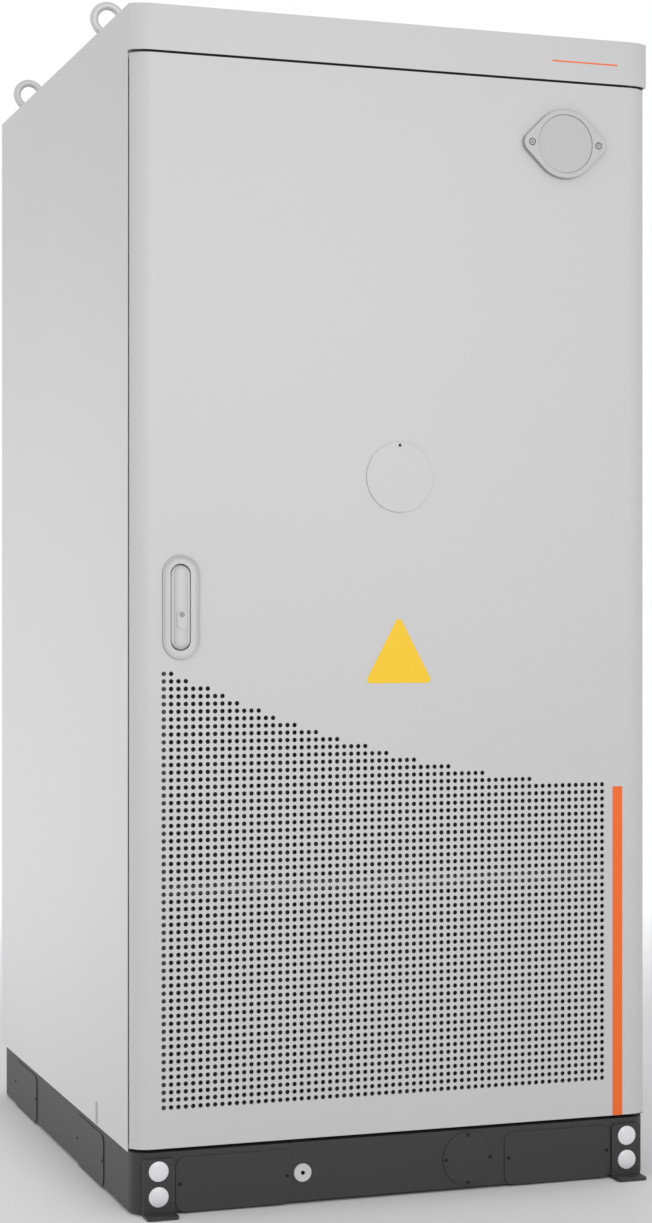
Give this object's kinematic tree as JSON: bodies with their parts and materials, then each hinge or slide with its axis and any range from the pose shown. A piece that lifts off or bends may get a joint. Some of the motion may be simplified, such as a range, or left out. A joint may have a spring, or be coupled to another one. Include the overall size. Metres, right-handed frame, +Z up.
{
  "type": "outdoor battery energy storage cabinet",
  "caption": "Tall outdoor battery cabinet with one perforated door, flush handle, dark plinth on angle feet and lifting eyes on the roof.",
  "frame": {"origin": "on the floor, under the middle of the cabinet's plan", "axes": "+X to the right as seen from the front, +Y from the front to the back, +Z up"},
  "size_m": [1.1037, 1.394, 2.4269],
  "materials": {
    "light_powder_coat": "fine textured powder coat, light grey",
    "dark_powder_coat": "fine textured powder coat, dark grey",
    "galvanised_steel": "galvanised sheet",
    "bright_steel": "satin zinc plated",
    "black_steel": "black powder coat",
    "white_plastic": "smooth white",
    "black_plastic": "matt black",
    "grey_plastic": "matt grey",
    "red_plastic": "glossy red",
    "yellow_plastic": "satin yellow",
    "orange_plastic": "satin orange",
    "lens_plastic": "fine satin, light grey",
    "rubber": "matt black foam rubber",
    "filter_fabric": "dark grey filter fleece",
    "aluminium": "mill finish",
    "brass": "turned",
    "red_paint": "glossy red enamel"
  },
  "bodies": {
    "cabinet": {"plinth_frame": "dark_powder_coat", "plinth_covers": "dark_powder_coat", "plinth_screws": "black_steel", "earth_boss": "bright_steel", "foot_brackets": "dark_powder_coat", "foot_plugs": "white_plastic", "floor_plate": "galvanised_steel", "side_panel_left": "light_powder_coat", "side_panel_right": "light_powder_coat", "rear_panel": "light_powder_coat", "roof_panel": "light_powder_coat", "fascia": "light_powder_coat", "frame_tubes": "galvanised_steel", "door_frame": "galvanised_steel", "lifting_eyes": "bright_steel", "hinge_brackets": "bright_steel", "hinge_pins": "bright_steel", "rod_keepers": "galvanised_steel", "compartment_shelf": "galvanised_steel", "pack_rails": "galvanised_steel", "battery_trays": "aluminium", "battery_cells": "aluminium", "pack_lids": "grey_plastic", "power_plugs": "black_plastic", "power_cables": "orange_plastic", "coolant_pipes": "black_plastic", "hv_box": "black_steel", "converter_unit": "black_steel", "chiller_unit": "galvanised_steel", "fire_canister": "red_paint"},
    "isolator": {"isolator_knob": "red_plastic"},
    "converter_rotor_left": {"converter_fan_left": "black_plastic"},
    "converter_rotor_right": {"converter_fan_right": "black_plastic"},
    "chiller_rotor": {"chiller_fan": "black_plastic"},
    "door": {"door_skin": "light_powder_coat", "door_stiffeners": "galvanised_steel", "door_gasket": "rubber", "filter_frame": "black_steel", "filter_mat": "filter_fabric", "hinge_bushes": "brass", "handle_bezel": "light_powder_coat", "handle_pin": "bright_steel", "lock_case": "galvanised_steel", "rod_guides": "black_plastic", "lamp_bezel": "lens_plastic", "lamp_lens": "lens_plastic", "lamp_housing": "grey_plastic", "lamp_screws": "bright_steel", "stop_cup": "black_plastic", "stop_base": "yellow_plastic", "stop_rivet": "bright_steel"},
    "lever": {"handle_lever": "light_powder_coat"},
    "dust_flap": {"dust_cover": "light_powder_coat"},
    "key_barrel": {"key_cylinder": "brass"},
    "cam": {"lock_cam": "bright_steel"},
    "rod_upper": {"lock_rod_upper": "bright_steel"},
    "rod_lower": {"lock_rod_lower": "bright_steel"},
    "stop_flap": {"stop_cover": "light_powder_coat"},
    "stop_plunger": {"stop_stem": "aluminium"},
    "stop_mushroom": {"stop_head": "red_plastic"}
  },
  "joints": [
    {"name": "door_swing", "type": "hinge", "parent": "cabinet", "child": "door", "pos_m": [0.526, -0.637, 1.19], "axis": [0, 0, 1], "range_deg": [0, 110]},
    {"name": "handle_tilt", "type": "hinge", "parent": "door", "child": "lever", "pos_m": [-0.45, -0.65, 1.2395], "axis": [-1, 0, 0], "range_deg": [0, 45]},
    {"name": "dust_cover_swing", "type": "hinge", "parent": "lever", "child": "dust_flap", "pos_m": [-0.45, -0.6613, 1.163], "axis": [0, 1, 0], "range_deg": [-100, 100]},
    {"name": "key_turn", "type": "hinge", "parent": "lever", "child": "key_barrel", "pos_m": [-0.45, -0.651, 1.147], "axis": [0, 1, 0], "range_deg": [0, 90]},
    {"name": "cam_turn", "type": "hinge", "parent": "door", "child": "cam", "pos_m": [-0.45, -0.6165, 1.215], "axis": [0, 1, 0], "range_deg": [0, 90]},
    {"name": "rod_upper_slide", "type": "slide", "parent": "door", "child": "rod_upper", "axis": [0, 0, -1], "range_m": [0, 0.0185]},
    {"name": "rod_lower_slide", "type": "slide", "parent": "door", "child": "rod_lower", "axis": [0, 0, 1], "range_m": [0, 0.0185]},
    {"name": "stop_cover_swing", "type": "hinge", "parent": "door", "child": "stop_flap", "pos_m": [0, -0.6563, 1.501], "axis": [0, 1, 0], "range_deg": [-120, 120]},
    {"name": "stop_press", "type": "slide", "parent": "door", "child": "stop_plunger", "axis": [0, 1, 0], "range_m": [0, 0.005], "stiffness_N_per_m": 2000},
    {"name": "stop_twist", "type": "hinge", "parent": "stop_plunger", "child": "stop_mushroom", "pos_m": [0, -0.642, 1.437], "axis": [0, 1, 0], "range_deg": [0, 30], "stiffness_Nm_per_rad": 0.2},
    {"name": "isolator_turn", "type": "hinge", "parent": "cabinet", "child": "isolator", "pos_m": [0, -0.5533, 0.845], "axis": [0, 1, 0], "range_deg": [0, 90]},
    {"name": "converter_fan_left_spin", "type": "hinge", "parent": "cabinet", "child": "converter_rotor_left", "pos_m": [0.14, -0.51, 0.61], "axis": [0, 1, 0], "continuous": true},
    {"name": "converter_fan_right_spin", "type": "hinge", "parent": "cabinet", "child": "converter_rotor_right", "pos_m": [0.36, -0.51, 0.61], "axis": [0, 1, 0], "continuous": true},
    {"name": "chiller_fan_spin", "type": "hinge", "parent": "cabinet", "child": "chiller_rotor", "pos_m": [-0.25, -0.51, 0.5], "axis": [0, 1, 0], "continuous": true}
  ],
  "couplings": [
    {"joint": "cam_turn", "follows": "handle_tilt", "ratio": 2},
    {"joint": "rod_upper_slide", "follows": "handle_tilt", "m_per_rad": 0.0234},
    {"joint": "rod_lower_slide", "follows": "handle_tilt", "m_per_rad": 0.0234}
  ]
}
